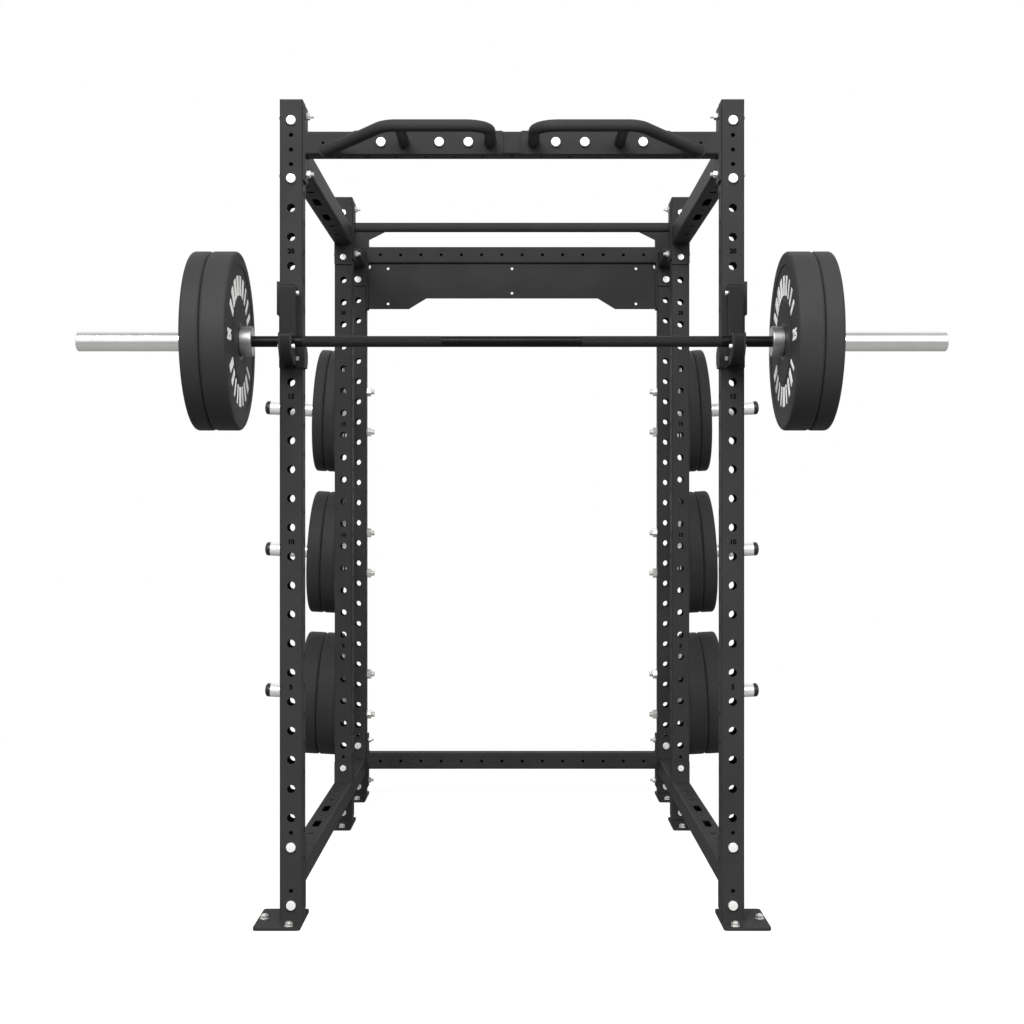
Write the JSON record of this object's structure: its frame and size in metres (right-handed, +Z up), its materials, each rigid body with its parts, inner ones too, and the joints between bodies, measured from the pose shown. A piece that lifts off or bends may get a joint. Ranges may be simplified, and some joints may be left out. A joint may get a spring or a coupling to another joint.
{
  "type": "power cage",
  "caption": "Steel strength-training cage with pull-up bars, a barbell racked in front cups and weight plates stored on side pegs at the back.",
  "frame": {"origin": "on the floor in the left-right mirror plane, midway between the front of the barbell plates and the back of the stored plates", "axes": "+X to the right of someone who faces the cage, +Y from the front to the storage end, +Z up"},
  "size_m": [2.2, 2.33, 2.13],
  "materials": {
    "frame_paint": "charcoal powder coat, fine satin texture",
    "zinc": "bright zinc plating",
    "chrome": "hard chrome, lightly brushed",
    "bar_oxide": "black oxide with knurled grip zones",
    "spring_steel": "plain spring steel",
    "bush_bronze": "oil-filled bronze",
    "hub_steel": "dark steel bush",
    "plate_rubber": "matt charcoal rubber",
    "black_plastic": "moulded black plastic"
  },
  "bodies": {
    "rack": {"left_front_upright": "frame_paint", "right_front_upright": "frame_paint", "left_middle_upright": "frame_paint", "right_middle_upright": "frame_paint", "left_rear_upright": "frame_paint", "right_rear_upright": "frame_paint", "foot_plates": "frame_paint", "top_front_beam": "frame_paint", "top_rear_beam": "frame_paint", "bottom_rear_beam": "frame_paint", "sign_plate": "frame_paint", "pullup_bar": "frame_paint", "peg_base_plates": "frame_paint", "left_top_side_beam": "frame_paint", "right_top_side_beam": "frame_paint", "left_bottom_side_beam": "frame_paint", "right_bottom_side_beam": "frame_paint", "left_top_storage_link": "frame_paint", "right_top_storage_link": "frame_paint", "left_bottom_storage_link": "frame_paint", "right_bottom_storage_link": "frame_paint", "left_grip_wing": "frame_paint", "right_grip_wing": "frame_paint", "left_cup_bracket": "frame_paint", "right_cup_bracket": "frame_paint", "anchor_bolts": "zinc", "frame_bolts": "zinc", "frame_nuts": "zinc", "cross_bolts": "zinc", "cross_nuts": "zinc", "grip_bolts": "zinc", "cup_bolts": "zinc", "storage_pegs": "chrome", "upright_caps": "black_plastic", "cup_cores": "black_plastic", "peg_caps": "black_plastic"},
    "barbell": {"bar_shaft": "bar_oxide", "bar_retaining_rings": "spring_steel"},
    "left_sleeve": {"left_bar_sleeve": "chrome", "left_sleeve_bushes": "bush_bronze", "left_sleeve_cap": "chrome"},
    "left_bar_load": {"left_bar_plates": "plate_rubber", "left_bar_plate_hubs": "hub_steel"},
    "left_top_load": {"left_stored_top_plates": "plate_rubber", "left_stored_top_plate_hubs": "hub_steel"},
    "left_middle_load": {"left_stored_middle_plates": "plate_rubber", "left_stored_middle_plate_hubs": "hub_steel"},
    "left_bottom_load": {"left_stored_bottom_plates": "plate_rubber", "left_stored_bottom_plate_hubs": "hub_steel"},
    "right_sleeve": {"right_bar_sleeve": "chrome", "right_sleeve_bushes": "bush_bronze", "right_sleeve_cap": "chrome"},
    "right_bar_load": {"right_bar_plates": "plate_rubber", "right_bar_plate_hubs": "hub_steel"},
    "right_top_load": {"right_stored_top_plates": "plate_rubber", "right_stored_top_plate_hubs": "hub_steel"},
    "right_middle_load": {"right_stored_middle_plates": "plate_rubber", "right_stored_middle_plate_hubs": "hub_steel"},
    "right_bottom_load": {"right_stored_bottom_plates": "plate_rubber", "right_stored_bottom_plate_hubs": "hub_steel"}
  },
  "joints": [
    {"name": "bar_lift", "type": "slide", "parent": "rack", "child": "barbell", "axis": [0, 0, 1], "range_m": [0, 0.45]},
    {"name": "left_sleeve_spin", "type": "hinge", "parent": "barbell", "child": "left_sleeve", "pos_m": [-0.9, -0.94, 1.496], "axis": [-1, 0, 0], "continuous": true},
    {"name": "left_bar_plates_off", "type": "slide", "parent": "left_sleeve", "child": "left_bar_load", "axis": [-1, 0, 0], "range_m": [0, 0.42]},
    {"name": "left_top_plates_off", "type": "slide", "parent": "rack", "child": "left_top_load", "axis": [-0.9986, 0, 0.0523], "range_m": [0, 0.3]},
    {"name": "left_middle_plates_off", "type": "slide", "parent": "rack", "child": "left_middle_load", "axis": [-0.9986, 0, 0.0523], "range_m": [0, 0.3]},
    {"name": "left_bottom_plates_off", "type": "slide", "parent": "rack", "child": "left_bottom_load", "axis": [-0.9986, 0, 0.0523], "range_m": [0, 0.3]},
    {"name": "right_sleeve_spin", "type": "hinge", "parent": "barbell", "child": "right_sleeve", "pos_m": [0.9, -0.94, 1.496], "axis": [1, 0, 0], "continuous": true},
    {"name": "right_bar_plates_off", "type": "slide", "parent": "right_sleeve", "child": "right_bar_load", "axis": [1, 0, 0], "range_m": [0, 0.42]},
    {"name": "right_top_plates_off", "type": "slide", "parent": "rack", "child": "right_top_load", "axis": [0.9986, 0, 0.0523], "range_m": [0, 0.3]},
    {"name": "right_middle_plates_off", "type": "slide", "parent": "rack", "child": "right_middle_load", "axis": [0.9986, 0, 0.0523], "range_m": [0, 0.3]},
    {"name": "right_bottom_plates_off", "type": "slide", "parent": "rack", "child": "right_bottom_load", "axis": [0.9986, 0, 0.0523], "range_m": [0, 0.3]}
  ]
}
